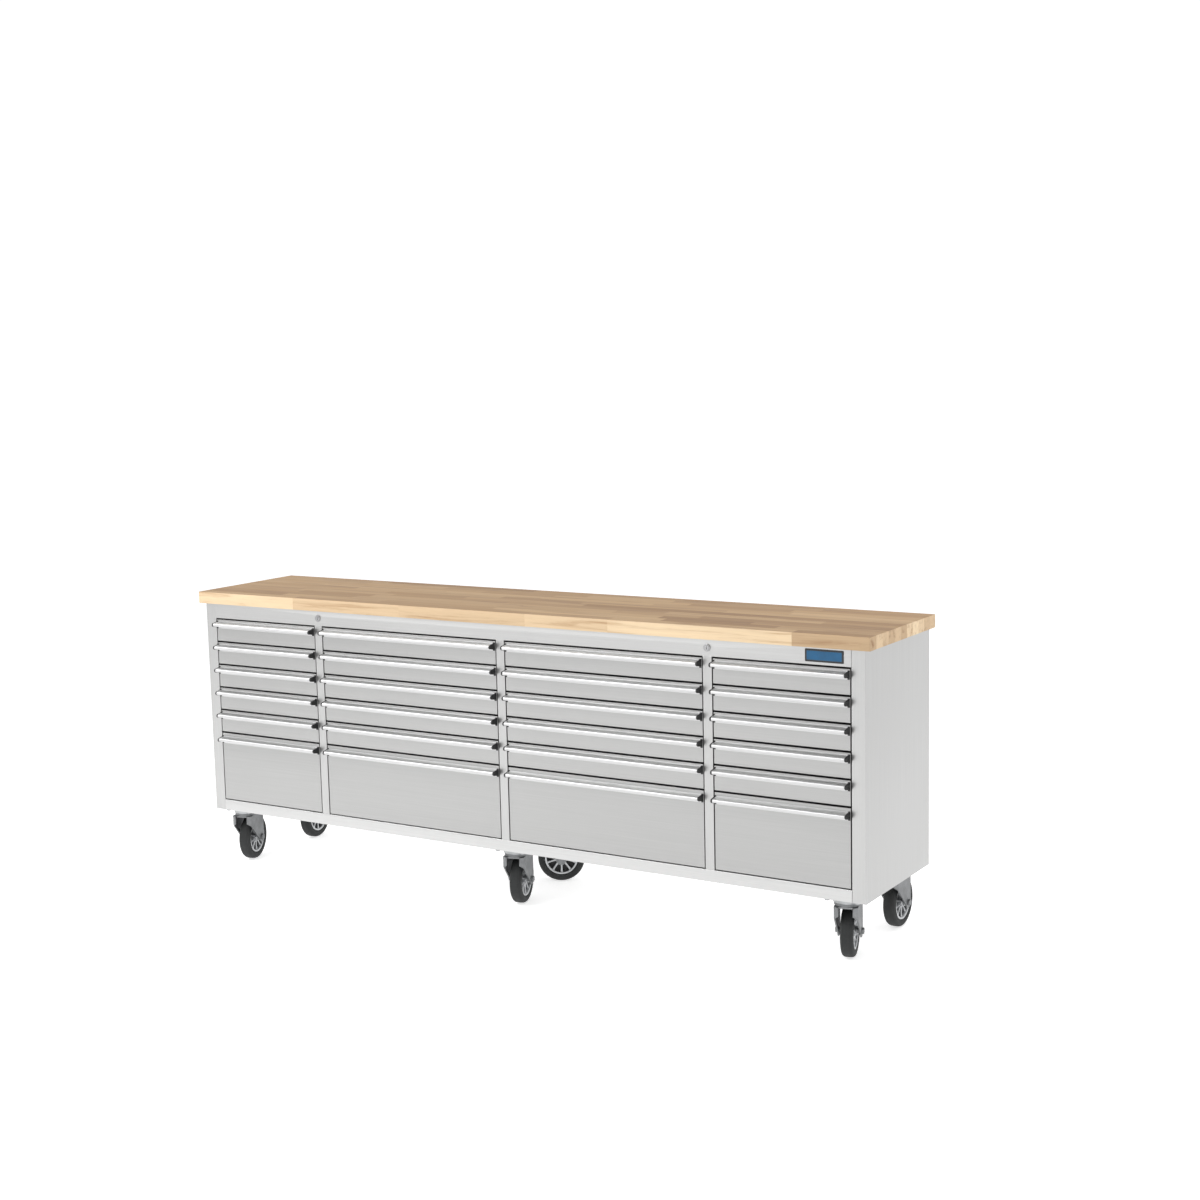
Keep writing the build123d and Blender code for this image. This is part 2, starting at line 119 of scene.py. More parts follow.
# ---------------------------------------------------------------- materials
class Nodes:
    """Short calls for wiring a material's nodes."""

    def __init__(self, name):
        self.mat = bpy.data.materials.new(name)
        self.mat.use_nodes = True
        self.tree = self.mat.node_tree
        self.shader = self.tree.nodes["Principled BSDF"]

    def add(self, kind, **values):
        node = self.tree.nodes.new(kind)
        for key, value in values.items():
            if key in node.inputs:
                node.inputs[key].default_value = value
            else:
                setattr(node, key, value)
        return node

    def wire(self, source, out, target, into):
        self.tree.links.new(source.outputs[out], target.inputs[into])

    def place(self, scale, offset=None):
        """Object coordinates, stretched."""
        coord = self.add("ShaderNodeTexCoord")
        mapping = self.add("ShaderNodeMapping")
        mapping.inputs["Scale"].default_value = scale
        self.wire(coord, "Object", mapping, "Vector")
        if offset is not None:
            self.wire(offset, 0, mapping, "Location")
        return mapping

    def noise(self, mapping, scale, detail=3.0, rough=0.5):
        node = self.add("ShaderNodeTexNoise", Scale=scale, Detail=detail, Roughness=rough)
        self.wire(mapping, 0, node, "Vector")
        return node

    def span(self, source, low, high, out=0, from_low=0.3, from_high=0.7):
        """Maps a texture's value onto a range."""
        node = self.add("ShaderNodeMapRange")
        node.inputs["From Min"].default_value = from_low
        node.inputs["From Max"].default_value = from_high
        node.inputs["To Min"].default_value = low
        node.inputs["To Max"].default_value = high
        self.wire(source, out, node, "Value")
        return node

    def ramp(self, source, stops, out=0):
        node = self.add("ShaderNodeValToRGB")
        band = node.color_ramp
        while len(band.elements) < len(stops):
            band.elements.new(0.5)
        for element, (at, colour) in zip(band.elements, stops):
            element.position = at
            element.color = (*colour, 1)
        self.wire(source, out, node, "Fac")
        return node

    def blend(self, a, b, factor, mode="MIX", amount=None):
        """Mixes two colour outputs."""
        node = self.add("ShaderNodeMix", data_type="RGBA", blend_type=mode)
        if amount is None:
            self.tree.links.new(factor.outputs[0], node.inputs[0])
        else:
            node.inputs[0].default_value = amount
        self.tree.links.new(a.outputs[0], node.inputs[6])
        self.tree.links.new(b.outputs[0], node.inputs[7])
        return node

    def bump(self, source, strength, distance, out=0):
        node = self.add("ShaderNodeBump", Strength=strength, Distance=distance)
        self.wire(source, out, node, "Height")
        self.wire(node, 0, self.shader, "Normal")
        return node


def shade(colour, k):
    return tuple(min(1.0, c * k) for c in colour)


def brushed(name, colour, rough, scale, depth=0.12, metallic=1.0, wear=0.05):
    """Brushed metal: fine stretched scratches, cloudy gloss and a faint handling haze."""
    n = Nodes(name)
    n.shader.inputs["Metallic"].default_value = metallic
    fine = n.noise(n.place(scale), 1.0, 4.0, 0.65)
    cloud = n.noise(n.place((2.2, 2.2, 2.2)), 1.0, 3.0, 0.5)
    tone = n.ramp(fine, [(0.25, shade(colour, 1 - wear)), (0.75, shade(colour, 1 + wear))])
    haze = n.ramp(cloud, [(0.3, (0.955,) * 3), (0.7, (1.0,) * 3)])
    mixed = n.blend(tone, haze, None, "MULTIPLY", 1.0)
    n.tree.links.new(mixed.outputs[2], n.shader.inputs["Base Color"])
    gloss = n.span(cloud, rough - 0.05, rough + 0.06)
    n.wire(gloss, 0, n.shader, "Roughness")
    n.bump(fine, depth, 0.0004)
    return n.mat


def zinc(name, colour, rough):
    """Zinc plate: small crystalline mottling and rubbed spots."""
    n = Nodes(name)
    n.shader.inputs["Metallic"].default_value = 1.0
    spangle = n.add("ShaderNodeTexVoronoi", Scale=1.0)
    n.wire(n.place((260, 260, 260)), 0, spangle, "Vector")
    cloud = n.noise(n.place((35, 35, 35)), 1.0, 4.0, 0.6)
    tone = n.ramp(cloud, [(0.3, shade(colour, 0.82)), (0.7, shade(colour, 1.12))])
    n.wire(tone, 0, n.shader, "Base Color")
    gloss = n.span(spangle, rough - 0.05, rough + 0.1, 0, 0.0, 0.6)
    n.wire(gloss, 0, n.shader, "Roughness")
    n.bump(cloud, 0.1, 0.0006)
    return n.mat


def plastic(name, colour, rough, grain=900.0, depth=0.15):
    """Moulded plastic with a fine spark-eroded grain."""
    n = Nodes(name)
    fine = n.noise(n.place((grain,) * 3), 1.0, 2.0, 0.5)
    cloud = n.noise(n.place((25, 25, 25)), 1.0, 3.0, 0.5)
    tone = n.ramp(cloud, [(0.3, shade(colour, 0.85)), (0.7, shade(colour, 1.2))])
    n.wire(tone, 0, n.shader, "Base Color")
    gloss = n.span(fine, rough - 0.06, rough + 0.08)
    n.wire(gloss, 0, n.shader, "Roughness")
    n.bump(fine, depth, 0.0003)
    return n.mat


def rubber(name, colour):
    """Tyre rubber, dusty where it has rolled."""
    n = Nodes(name)
    n.shader.inputs["Specular IOR Level"].default_value = 0.35
    fine = n.noise(n.place((420, 420, 420)), 1.0, 3.0, 0.6)
    dust = n.noise(n.place((28, 28, 28)), 1.0, 5.0, 0.65)
    tone = n.ramp(dust, [(0.35, colour), (0.72, shade(colour, 1.9))])
    n.wire(tone, 0, n.shader, "Base Color")
    gloss = n.span(dust, 0.55, 0.8)
    n.wire(gloss, 0, n.shader, "Roughness")
    n.bump(fine, 0.2, 0.0004)
    return n.mat


def timber(name):
    """Glued maple staves: each one has its own tone and figure; faces that point up get a painted shade."""
    n = Nodes(name)
    stave = n.add("ShaderNodeAttribute", attribute_name="stave")
    jump = n.add("ShaderNodeVectorMath", operation="SCALE")
    jump.inputs["Scale"].default_value = 7.0
    n.wire(stave, "Vector", jump, 0)
    grain = n.noise(n.place((2.2, 46, 46), jump), 1.0, 6.0, 0.62)
    grain.inputs["Distortion"].default_value = 0.7
    pores = n.noise(n.place((18, 900, 900), jump), 1.0, 2.0, 0.5)
    light = (0.83, 0.65, 0.43)
    dark = (0.46, 0.29, 0.155)
    figure = n.ramp(grain, [(0.28, dark), (0.46, shade(light, 0.9)), (0.7, light)])
    tones = [(0.15, (0.62, 0.55, 0.50)), (0.5, (0.84, 0.80, 0.77)), (0.85, (1.0, 1.0, 1.0))]
    tone = n.ramp(stave, tones, "Fac")
    toned = n.blend(figure, tone, None, "MULTIPLY", 1.0)
    coord = n.add("ShaderNodeTexCoord")
    facing = n.add("ShaderNodeSeparateXYZ")
    n.wire(coord, "Normal", facing, 0)
    # painted shade: faces that point up are multiplied darker, so the top reads darker than the front edge
    top_painted_shade = n.ramp(facing, [(0.3, (1.0, 1.0, 1.0)), (0.8, (0.68, 0.59, 0.49))], "Z")
    fleck = n.ramp(pores, [(0.3, (0.86, 0.82, 0.78)), (0.42, (1, 1, 1))])
    mixed = n.add("ShaderNodeMix", data_type="RGBA", blend_type="MULTIPLY")
    mixed.inputs[0].default_value = 0.7
    n.tree.links.new(toned.outputs[2], mixed.inputs[6])
    n.tree.links.new(fleck.outputs[0], mixed.inputs[7])
    # applies the painted shade on upward faces to the toned, flecked wood
    with_painted_top_shade = n.add("ShaderNodeMix", data_type="RGBA", blend_type="MULTIPLY")
    with_painted_top_shade.inputs[0].default_value = 1.0
    n.tree.links.new(mixed.outputs[2], with_painted_top_shade.inputs[6])
    n.tree.links.new(top_painted_shade.outputs[0], with_painted_top_shade.inputs[7])
    n.tree.links.new(with_painted_top_shade.outputs[2], n.shader.inputs["Base Color"])
    n.shader.inputs["Specular IOR Level"].default_value = 0.22
    gloss = n.span(grain, 0.48, 0.6)
    n.wire(gloss, 0, n.shader, "Roughness")
    n.bump(pores, 0.12, 0.0004)
    return n.mat


def enamel(name, colour, rough):
    """Smooth enamel with a faint orange peel."""
    n = Nodes(name)
    n.shader.inputs["Coat Weight"].default_value = 0.08
    peel = n.noise(n.place((260, 260, 260)), 1.0, 2.0, 0.5)
    cloud = n.noise(n.place((30, 30, 30)), 1.0, 3.0, 0.5)
    tone = n.ramp(cloud, [(0.3, shade(colour, 0.85)), (0.7, shade(colour, 1.15))])
    n.wire(tone, 0, n.shader, "Base Color")
    gloss = n.span(peel, rough - 0.04, rough + 0.06)
    n.wire(gloss, 0, n.shader, "Roughness")
    n.bump(peel, 0.06, 0.0003)
    return n.mat


BODY = brushed("body_steel", (0.60, 0.60, 0.595), 0.36, (3, 3, 420))
# Top rail: the body steel made darker, a painted shade, because on the bench the top rail gets less light than the
# bottom rail beside the floor
RAIL_STEEL_SHADED = brushed("rail_steel_painted_shade", (0.54, 0.54, 0.535), 0.34, (3, 3, 420))
BODY_UP = brushed("body_steel_upright", (0.52, 0.52, 0.515), 0.36, (420, 420, 3))
DRAWER = brushed("drawer_steel", (0.435, 0.435, 0.43), 0.34, (3, 3, 460))
INSIDE = brushed("inside_steel", (0.55, 0.55, 0.55), 0.42, (3, 200, 200))
ALU = brushed("handle_aluminium", (0.64, 0.64, 0.64), 0.4, (4, 500, 500), 0.05, 1.0, 0.03)
ZINC = zinc("zinc_plate", (0.40, 0.41, 0.415), 0.3)
# Forks and pedals: the zinc plate made darker, a painted shade for their place in the dark under the bench; the
# higher roughness is the plating's own gloss
ZINC_SHADED = zinc("zinc_painted_shade", (0.24, 0.245, 0.25), 0.42)
CHROME = brushed("lock_chrome", (0.40, 0.40, 0.405), 0.2, (300, 300, 300), 0.03, 1.0, 0.03)
CAP_MAT = plastic("cap_plastic", (0.009, 0.009, 0.010), 0.5)
LINER = plastic("liner_foam", (0.035, 0.035, 0.037), 0.8, 500.0, 0.4)
TYRE = rubber("tyre_rubber", (0.017, 0.018, 0.018))
RIM = zinc("wheel_silver", (0.50, 0.51, 0.52), 0.3)
RIM_DARK = plastic("wheel_web", (0.008, 0.008, 0.009), 0.55)
WOOD = timber("maple_staves")
BADGE_BLUE = enamel("badge_blue", (0.002, 0.085, 0.20), 0.5)
BADGE_BLACK = enamel("badge_black", (0.012, 0.013, 0.015), 0.3)
BADGE_RIM = enamel("badge_rim", (0.02, 0.06, 0.10), 0.4)


# ---------------------------------------------------------------- mesh helpers
def piece(name, bm, body, material, replaced=(), smooth=35.0):
    """Turns a bmesh into a named piece that rides on a body."""
    bmesh.ops.remove_doubles(bm, verts=bm.verts, dist=1e-6)
    bmesh.ops.recalc_face_normals(bm, faces=bm.faces)
    mesh = bpy.data.meshes.new(name)
    bm.to_mesh(mesh)
    bm.free()
    for poly in mesh.polygons:
        poly.use_smooth = True
    mesh.set_sharp_from_angle(angle=radians(smooth))
    mesh.materials.append(material)
    obj = bpy.data.objects.new(name, mesh)
    bpy.context.scene.collection.objects.link(obj)
    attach(obj, body)
    if replaced:
        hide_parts(*replaced)
    return obj


AXES = {
    "X": lambda u, v, a: (a, u, v),
    "Y": lambda u, v, a: (u, a, v),
    "Z": lambda u, v, a: (u, v, a),
}


def prism(bm, outline, axis, start, end, chamfer=0.0):
    """Extrudes a closed outline along an axis, with lightly chamfered ends."""
    place = AXES[axis]
    count = len(outline)
    middle_u = sum(p[0] for p in outline) / count
    middle_v = sum(p[1] for p in outline) / count
    if chamfer:
        stations = [(start, chamfer), (start + chamfer, 0.0), (end - chamfer, 0.0), (end, chamfer)]
    else:
        stations = [(start, 0.0), (end, 0.0)]
    rings = []
    for at, inset in stations:
        ring = []
        for u, v in outline:
            away = Vector((u - middle_u, v - middle_v))
            if away.length > 0:
                away = away * (1 - min(0.5, inset / away.length))
            ring.append(bm.verts.new(place(middle_u + away.x, middle_v + away.y, at)))
        rings.append(ring)
    for a, b in zip(rings, rings[1:]):
        for i in range(count):
            j = (i + 1) % count
            bm.faces.new((a[i], a[j], b[j], b[i]))
    bm.faces.new(rings[0])
    bm.faces.new(list(reversed(rings[-1])))


def bent(path, radius, steps=4):
    """A path with its corners rounded: a list of (point, normal)."""
    out = []
    points = [Vector(p) for p in path]
    for i, p in enumerate(points):
        if i == 0 or i == len(points) - 1:
            way = (points[1] - p if i == 0 else p - points[i - 1]).normalized()
            out.append((p, Vector((-way.y, way.x))))
            continue
        before = (p - points[i - 1]).normalized()
        after = (points[i + 1] - p).normalized()
        turn = before.angle_signed(after)
        reach = radius * tan(abs(turn) / 2)
        side = -1 if turn > 0 else 1
        centre = p - before * reach + Vector((-before.y, before.x)) * radius * side
        for k in range(steps + 1):
            spin = Matrix.Rotation(-turn * k / steps, 2)
            normal = spin @ Vector((-before.y, before.x))
            out.append((centre - normal * radius * side, normal))
    return out


def folded(path, thick, radius, steps=4):
    """Closed outline of a bent sheet whose mid-line follows the path."""
    line = bent(path, radius, steps)
    left = [p + n * thick / 2 for p, n in line]
    right = [p - n * thick / 2 for p, n in line]
    return [tuple(p) for p in left] + [tuple(p) for p in reversed(right)]


def lathe(bm, profile, place, steps=64):
    """Turns a closed (radius, along) profile round the local X axis, put in place by a matrix."""
    rings = []
    for k in range(steps):
        a = 2 * pi * k / steps
        points = [Vector((x, r * cos(a), r * sin(a))) for r, x in profile]
        rings.append([bm.verts.new(place @ point) for point in points])
    count = len(profile)
    for k in range(steps):
        a, b = rings[k], rings[(k + 1) % steps]
        for i in range(count):
            j = (i + 1) % count
            bm.faces.new((a[i], a[j], b[j], b[i]))


def refined(node, material, width=0.0004, steps=2):
    """A finer copy of a CAD node: flat faces are merged and sharp edges get a small bevel."""
    bm = bmesh.new()
    bm.from_mesh(frame["nodes"][node].data)
    bmesh.ops.remove_doubles(bm, verts=bm.verts, dist=2e-6)
    bmesh.ops.dissolve_limit(
        bm, angle_limit=radians(FLAT_ANGLE), verts=bm.verts, edges=bm.edges, delimit=set()
    )
    limit = radians(SHARP_ANGLE)
    sharp = [e for e in bm.edges if len(e.link_faces) == 2 and e.calc_face_angle(0) > limit]
    bmesh.ops.bevel(
        bm, geom=sharp, offset=width, segments=steps, affect="EDGES", profile=0.5,
        clamp_overlap=True,
    )
    return piece(node + "_fine", bm, body_of[node], material, [node], FINE_SMOOTH)


# ---------------------------------------------------------------- worktop
def make_worktop():
    """Staves glued edge to edge, each its own solid strip with eased arrises."""
    bm = bmesh.new()
    mark = bm.verts.layers.float_vector.new("stave")
    deep = (top_high.y - top_low.y) / STAVE_ROWS
    for row in range(STAVE_ROWS):
        x = top_low.x
        while x < top_high.x - 1e-6:
            length = dice.uniform(STAVE_SHORT, STAVE_LONG)
            end = x + length
            if top_high.x - end < STAVE_LEAST:
                end = top_high.x
            tone = (dice.random(), dice.random(), dice.random())
            low = Vector((x, top_low.y + row * deep, top_low.z))
            high = Vector((end, top_low.y + (row + 1) * deep, top_high.z))
            stave(bm, mark, low, high, tone)
            x = end
    return piece("worktop_staves", bm, "cabinet", WOOD, ["worktop"])


def stave(bm, mark, low, high, tone):
    """One strip. Edges on the outside of the slab get the big round, glue lines a hairline."""
    made = bmesh.ops.create_cube(bm, size=1.0)
    verts = made["verts"]
    for v in verts:
        v.co = Vector([(low[k] + high[k]) / 2 + v.co[k] * (high[k] - low[k]) for k in range(3)])
        v[mark] = tone
    edges = list({e for v in verts for e in v.link_edges})
    outer = []
    inner = []
    for e in edges:
        mid = (e.verts[0].co + e.verts[1].co) / 2
        sides = 0
        for k in range(3):
            if abs(mid[k] - top_low[k]) < 1e-6 or abs(mid[k] - top_high[k]) < 1e-6:
                sides += 1
        (outer if sides >= 2 else inner).append(e)
    if inner:
        bmesh.ops.bevel(bm, geom=inner, offset=GLUE_LINE, segments=1, affect="EDGES")
    left = [e for e in outer if e.is_valid]
    if left:
        bmesh.ops.bevel(bm, geom=left, offset=SLAB_ROUND, segments=4, affect="EDGES", profile=0.5)
    for v in bm.verts:
        if v[mark].length == 0:
            v[mark] = tone


# ---------------------------------------------------------------- drawers
def handle_outline():
    """Handle section in metres about the front's top edge: flange, sloping top and round nose."""
    pts = [(-2.2, -9.8), (-2.2, -8.2), (-0.2, -8.0), (0, -8.4)]
    pts += [(0, -32.8), (-2.2, -32.8), (-2.2, -12.3)]
    pts += arc((-20.9, -19.4), 4.25, 84, 212)
    pts += arc((-25.46, -22.25), 1.12, 302, 122, 6)[1:-1]
    pts += arc((-20.9, -19.4), 6.5, 212, 86)
    return [(y * MM, z * MM) for y, z in pts]


def arc(centre, r, start, end, steps=10):
    out = []
    for k in range(steps + 1):
        a = radians(start + (end - start) * k / steps)
        out.append((centre[0] + r * cos(a), centre[1] + r * sin(a)))
    return out


def cap_outline():
    """End cap section in metres about the same point: it closes the whole pull."""
    pts = [(-2.3, -9.6), (-2.3, -7.9), (0, -7.8), (0, -33.1)]
    pts += [(-2.3, -33.1), (-3.4, -28.8), (-23.6, -25.4)]
    pts += arc((-20.9, -19.4), 6.5, 206, 86)
    return [(y * MM, z * MM) for y, z in pts]


def corners(u0, u1, v0, v1, inset):
    """The four corners of a rectangle drawn in by an inset."""
    u0, u1, v0, v1 = u0 + inset, u1 - inset, v0 + inset, v1 - inset
    return [(u0, v0), (u1, v0), (u1, v1), (u0, v1)]


def skin(bm, rings):
    """Joins rings of four corners into one closed skin."""
    for a, b in zip(rings, rings[1:]):
        for i in range(4):
            j = (i + 1) % 4
            bm.faces.new((a[i], a[j], b[j], b[i]))
    bm.faces.new(rings[0])
    bm.faces.new(rings[-1])


def make_front(low, high):
    """Folded steel front: soft outer bends, returns and an inner flange, as one closed sheet."""
    bm = bmesh.new()
    x0, x1, z0, z1 = low.x, high.x, low.z, high.z
    t = DRAWER_SHEET
    rings = []

    def ring(inset, y):
        rings.append([bm.verts.new((x, y, z)) for x, z in corners(x0, x1, z0, z1, inset)])

    for k in range(6):
        a = radians(90 * k / 5)
        ring(BEND - BEND * sin(a), front_y + BEND - BEND * cos(a))
    ring(0.0, front_y + FRONT_DEEP - 0.0008)
    ring(0.0006, front_y + FRONT_DEEP)
    ring(FRONT_FLANGE, front_y + FRONT_DEEP)
    ring(FRONT_FLANGE, front_y + FRONT_DEEP - t)
    ring(t + 0.0004, front_y + FRONT_DEEP - t)
    ring(t, front_y + FRONT_DEEP - t - 0.0004)
    ring(t, front_y + BEND)
    ring(BEND, front_y + t)
    skin(bm, rings)
    return bm


def make_pan(x0, x1, y0, y1, z0, z1):
    """Folded tray: floor, four walls and a rolled hem round the rim, as one closed sheet."""
    bm = bmesh.new()
    t = DRAWER_SHEET
    rings = []

    def ring(inset, z):
        rings.append([bm.verts.new((x, y, z)) for x, y in corners(x0, x1, y0, y1, inset)])

    ring(0.0016, z0)
    ring(0.0005, z0 + 0.0005)
    ring(0.0, z0 + 0.0016)
    ring(0.0, z1 - 0.0008)
    ring(0.0006, z1)
    ring(HEM - 0.0012, z1)
    ring(HEM, z1 - 0.0008)
    ring(HEM, z1 - 0.0045)
    ring(HEM - t, z1 - 0.0045)
    ring(HEM - t, z1 - t)
    ring(t, z1 - t)
    ring(t, z0 + 0.0022)
    ring(0.0022, z0 + t)
    skin(bm, rings)
    return bm


def make_liner(x0, x1, y0, y1, z):
    """Ribbed mat: a row of low round ridges running across the drawer."""
    bm = bmesh.new()
    count = int((y1 - y0) / LINER_PITCH)
    pitch = (y1 - y0) / count
    rib = ((0.0, 1.2), (0.25, 1.3), (0.4, 1.8), (0.6, 2.0), (0.8, 1.8), (0.93, 1.3))
    outline = []
    for k in range(count):
        for part, height in rib:
            outline.append((y0 + (k + part) * pitch, z + height * MM))
    outline += [(y1, z + 1.2 * MM), (y1, z), (y0, z)]
    prism(bm, outline, "X", x0, x1)
    return bm


def make_drawer(node):
    """All of one drawer's pieces."""
    low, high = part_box(node)
    tag = node[len("drawer_"):]
    deep = high.z - low.z > DEEP_DRAWER
    front = make_front(low, high)
    piece("front_" + tag, front, node, DRAWER, [node])

    rise = high.z + HEAD_GAP - HANDLE_DROP[deep]
    start, end = low.x + SIDE_GAP + CAP, high.x - SIDE_GAP - CAP
    outline = [(front_y + y, rise + z) for y, z in handle_outline()]
    bm = bmesh.new()
    prism(bm, outline, "X", start, end)
    piece("handle_" + tag, bm, node, ALU)
    outline = [(front_y + y, rise + z) for y, z in cap_outline()]
    for side, a, b in (("left", low.x + SIDE_GAP, start), ("right", end, high.x - SIDE_GAP)):
        bm = bmesh.new()
        prism(bm, outline, "X", a, b, 0.0007)
        piece("cap_" + side + "_" + tag, bm, node, CAP_MAT)

    x0, x1 = low.x + PAN_SIDE, high.x - PAN_SIDE
    y0, y1 = front_y + FRONT_DEEP, high.y
    z0 = low.z + PAN_LOW
    z1 = z0 + PAN_H[deep]
    piece("pan_" + tag, make_pan(x0, x1, y0, y1, z0, z1), node, INSIDE)
    t = DRAWER_SHEET
    bm = make_liner(x0 + t + 0.001, x1 - t - 0.001, y0 + t + 0.001, y1 - t - 0.001, z0 + t)
    piece("liner_" + tag, bm, node, LINER)

    mid = low.z + RUNNER_MID
    h = RUNNER_HALF - RUNNER_SHEET / 2
    for side, base, way in (("left", x0, -1), ("right", x1, 1)):
        web = base + way * RUNNER_SHEET / 2
        tip = base + way * RUNNER_TIP
        path = [(tip, mid + h), (web, mid + h), (web, mid - h), (tip, mid - h)]
        bm = bmesh.new()
        outline = folded(path, RUNNER_SHEET, 0.0014, 3)
        prism(bm, outline, "Y", front_y + RUNNER_START, front_y + RUNNER_END)
        piece("runner_" + side + "_" + tag, bm, node, ZINC)


# ---------------------------------------------------------------- shell
def make_side(node, sign):
    """Side panel: one folded sheet that turns round the front to make the post face."""
    low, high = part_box(node)
    half = SHEET / 2
    outer = high.x if sign > 0 else low.x
    inner = low.x if sign > 0 else high.x
    y_back = high.y - half
    path = [
        (inner + sign * half, front_y + RETURN), (inner + sign * half, front_y + half),
        (outer - sign * half, front_y + half), (outer - sign * half, y_back),
        (outer - sign * 0.018, y_back),
    ]
    bm = bmesh.new()
    prism(bm, folded(path, SHEET, 0.0015, 5), "Z", low.z, high.z)
    piece(node + "_sheet", bm, "cabinet", BODY_UP, [node])


def make_rail(node):
    """Front rail: a face with a return bent back along its top edge."""
    low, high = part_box(node)
    half = SHEET / 2
    top = high.z - half
    path = [(front_y + RETURN - half, top), (front_y + half, top), (front_y + half, low.z)]
    bm = bmesh.new()
    prism(bm, folded(path, SHEET, 0.0013, 4), "X", low.x, high.x)
    piece(node + "_sheet", bm, "cabinet", BODY, [node])


def round_outline(low_u, high_u, low_v, high_v, r):
    """A rounded rectangle."""
    out = []
    for cu, cv, start in ((high_u - r, high_v - r, 0), (low_u + r, high_v - r, 90),
                          (low_u + r, low_v + r, 180), (high_u - r, low_v + r, 270)):
        out += arc((cu, cv), r, start, start + 90, 6)
    return out


def make_badge():
    """Plain enamelled plate: a dark base with a raised, framed blue field, and no mark on it."""
    low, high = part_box("badge")
    plates = (
        ("badge_base", 0.0, 0.003, 0.0004, BADGE_BLACK),
        ("badge_rim", 0.0046, 0.0024, 0.0002, BADGE_RIM),
        ("badge_field", 0.0058, 0.0018, 0.0, BADGE_BLUE),
    )
    for name, inset, r, back, material in plates:
        bm = bmesh.new()
        outline = round_outline(low.x + inset, high.x - inset, low.z + inset, high.z - inset, r)
        prism(bm, outline, "Y", low.y + back, high.y, 0.0003)
        piece(name, bm, "cabinet", material, ["badge"] if inset == 0.0 else ())


def make_wheel(tag):
    """Tyre with moulded rings, spoked silver rim, dark centre web and hub with bearing."""
    joint = joints["roll_" + tag]
    body = "wheel_" + tag
    axis = Vector(joint["axis"]).normalized()
    up = Vector((0, 0, 1))
    ahead = up.cross(axis).normalized()
    place = Matrix((axis, ahead, up)).transposed().to_4x4()
    place.translation = Vector(joint["pos_m"])

    tyre = [(54.2, -16.0), (56.5, -18.4), (60.0, -18.9), (61.0, -18.3), (62.4, -18.3)]
    tyre += [(63.2, -18.9), (67.0, -18.6), (70.2, -17.6), (72.8, -15.8), (74.6, -13.2)]
    tyre += [(75.5, -10.6), (75.1, -10.0), (75.1, -9.2), (75.7, -8.6), (75.95, -4.0)]
    full = tyre + [(76.0, 0.0)] + [(r, -x) for r, x in reversed(tyre)]
    bm = bmesh.new()
    lathe(bm, [(r * MM, x * MM) for r, x in full], place, 96)
    piece("tyre_" + tag, bm, body, TYRE, [body])

    ring = [(47.0, -13.0), (47.6, -15.6), (49.0, -16.6), (53.0, -16.8), (54.0, -16.0)]
    full = ring + [(r, -x) for r, x in reversed(ring)]
    bm = bmesh.new()
    lathe(bm, [(r * MM, x * MM) for r, x in full], place, 96)
    hub = [(8.05, -22.5), (8.6, -23.0), (12.4, -23.0), (13.0, -22.4), (13.0, -19.0)]
    hub += [(15.0, -17.0), (15.5, -11.0)]
    full = hub + [(r, -x) for r, x in reversed(hub)]
    lathe(bm, [(r * MM, x * MM) for r, x in full], place, 48)
    for k in range(SPOKES):
        turn = place @ Matrix.Rotation(2 * pi * k / SPOKES, 4, "X")
        for side in (-1, 1):
            spoke(bm, turn, side)
    piece("rim_" + tag, bm, body, RIM)

    web = [(14.5, -1.5), (48.0, -1.5), (48.0, 1.5), (14.5, 1.5)]
    bm = bmesh.new()
    lathe(bm, [(r * MM, x * MM) for r, x in web], place, 64)
    piece("web_" + tag, bm, body, RIM_DARK)


def spoke(bm, turn, side):
    """A tapered spoke with a raised, rounded back, standing on one side of the web."""
    stations = [(14.0, 4.6, 15.0), (22.0, 3.7, 13.0), (34.0, 3.3, 12.0)]
    stations += [(44.0, 3.8, 12.8), (48.2, 5.2, 14.0)]
    section = [(-1.0, 0.0), (-1.0, 0.72), (-0.78, 0.93), (-0.3, 1.0)]
    section += [(0.3, 1.0), (0.78, 0.93), (1.0, 0.72), (1.0, 0.0)]
    rings = []
    for r, half, high in stations:
        ring = []
        for s, h in section:
            x = (1.0 + (high - 1.0) * h) * side
            ring.append(bm.verts.new(turn @ (Vector((x, s * half, r)) * MM)))
        rings.append(ring)
    for a, b in zip(rings, rings[1:]):
        for i in range(8):
            j = (i + 1) % 8
            bm.faces.new((a[i], a[j], b[j], b[i]))
    bm.faces.new(rings[0])
    bm.faces.new(list(reversed(rings[-1])))


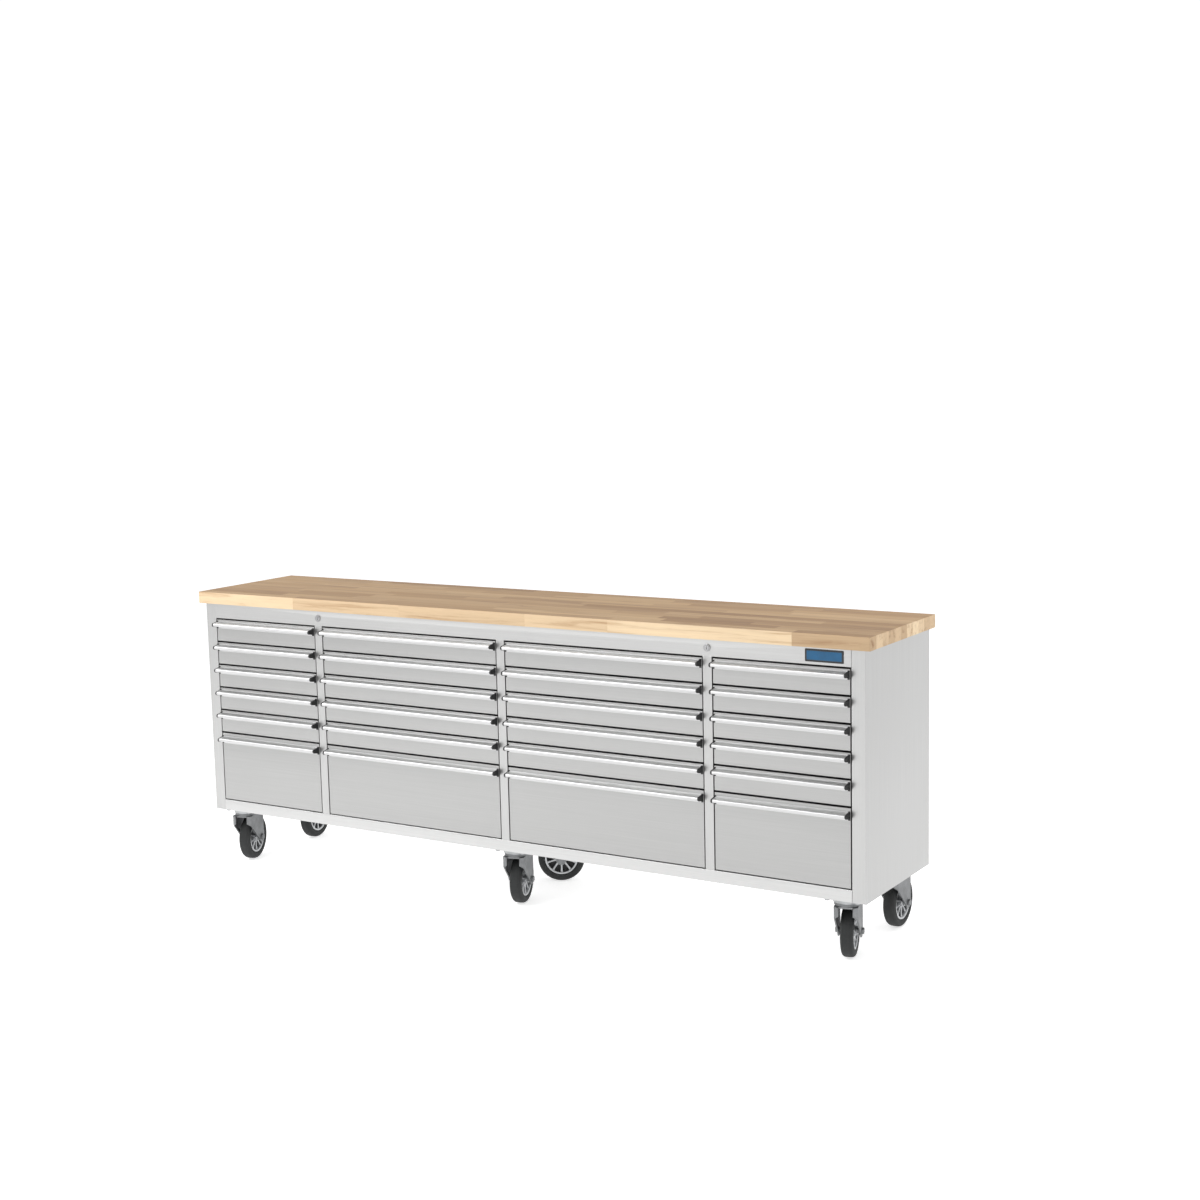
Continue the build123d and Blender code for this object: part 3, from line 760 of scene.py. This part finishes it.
# ---------------------------------------------------------------- stage
def add_stage():
    """Pale floor, a world that is brightest at the horizon, and soft studio lamps."""
    bm = bmesh.new()
    half, below = 40, -0.0002
    signs = ((-1, -1), (1, -1), (1, 1), (-1, 1))
    bm.faces.new([bm.verts.new((x * half, y * half, below)) for x, y in signs])
    mesh = bpy.data.meshes.new("floor")
    bm.to_mesh(mesh)
    bm.free()
    n = Nodes("floor_pale")
    n.shader.inputs["Base Color"].default_value = (0.86, 0.86, 0.86, 1)
    n.shader.inputs["Roughness"].default_value = 0.9
    n.shader.inputs["Specular IOR Level"].default_value = 0.1
    n.shader.inputs["Emission Color"].default_value = (1, 1, 1, 1)
    n.shader.inputs["Emission Strength"].default_value = 0.6
    mesh.materials.append(n.mat)
    floor = bpy.data.objects.new("floor", mesh)
    bpy.context.scene.collection.objects.link(floor)

    world = bpy.data.worlds.new("studio")
    bpy.context.scene.world = world
    world.use_nodes = True
    tree = world.node_tree
    coord = tree.nodes.new("ShaderNodeTexCoord")
    split = tree.nodes.new("ShaderNodeSeparateXYZ")
    ramp = tree.nodes.new("ShaderNodeValToRGB")
    tree.links.new(coord.outputs["Generated"], split.inputs[0])
    tree.links.new(split.outputs["Z"], ramp.inputs["Fac"])
    ramp.color_ramp.elements[0].position = 0.22
    ramp.color_ramp.elements[0].color = (1.06, 1.06, 1.06, 1)
    ramp.color_ramp.elements[1].position = 0.75
    ramp.color_ramp.elements[1].color = (0.42, 0.42, 0.425, 1)
    tree.links.new(ramp.outputs[0], tree.nodes["Background"].inputs["Color"])
    tree.nodes["Background"].inputs["Strength"].default_value = 1.0

    lamp("overhead_front", (-2.1, -2.4, 3.2), (4.2, 1.3), 95)
    lamp("overhead_back", (1.7, 0.9, 2.2), (1.6, 1.0), 14)
    view = bpy.context.scene.view_settings
    view.view_transform = "Standard"
    view.look = "None"


def lamp(name, place, size, power):
    """A large rectangular softbox that faces the bench."""
    data = bpy.data.lights.new(name, "AREA")
    data.shape = "RECTANGLE"
    data.size, data.size_y = size
    data.energy = power
    obj = bpy.data.objects.new(name, data)
    obj.location = place
    obj.rotation_mode = "QUATERNION"
    obj.rotation_quaternion = (Vector((0, 0, 0.5)) - Vector(place)).to_track_quat("-Z", "Y")
    bpy.context.scene.collection.objects.link(obj)


# ---------------------------------------------------------------- build
add_camera()
add_stage()
make_worktop()
for node in sorted(frame["nodes"]):
    if node.startswith("drawer_"):
        make_drawer(node)
make_side("left_side", -1)
make_side("right_side", 1)
make_rail("bottom_rail")
make_badge()
for tag in ("fl", "fm", "fr", "rl", "rm", "rr"):
    make_wheel(tag)
    refined("fork_" + tag, ZINC_SHADED, 0.0006)
for tag in ("fl", "fm", "fr"):
    refined("pedal_" + tag, ZINC_SHADED, 0.0006)
for node in ("back_panel", "base_pan"):
    refined(node, BODY)
for node in ("divider_1", "divider_2", "divider_3"):
    refined(node, BODY_UP)
refined("top_rail", RAIL_STEEL_SHADED)
for node in ("inner_frame", "slide_rails", "top_frame", "caster_plates", "fasteners"):
    refined(node, ZINC)
for node in ("lock_core_left", "lock_core_right", "lock_housings"):
    refined(node, CHROME)
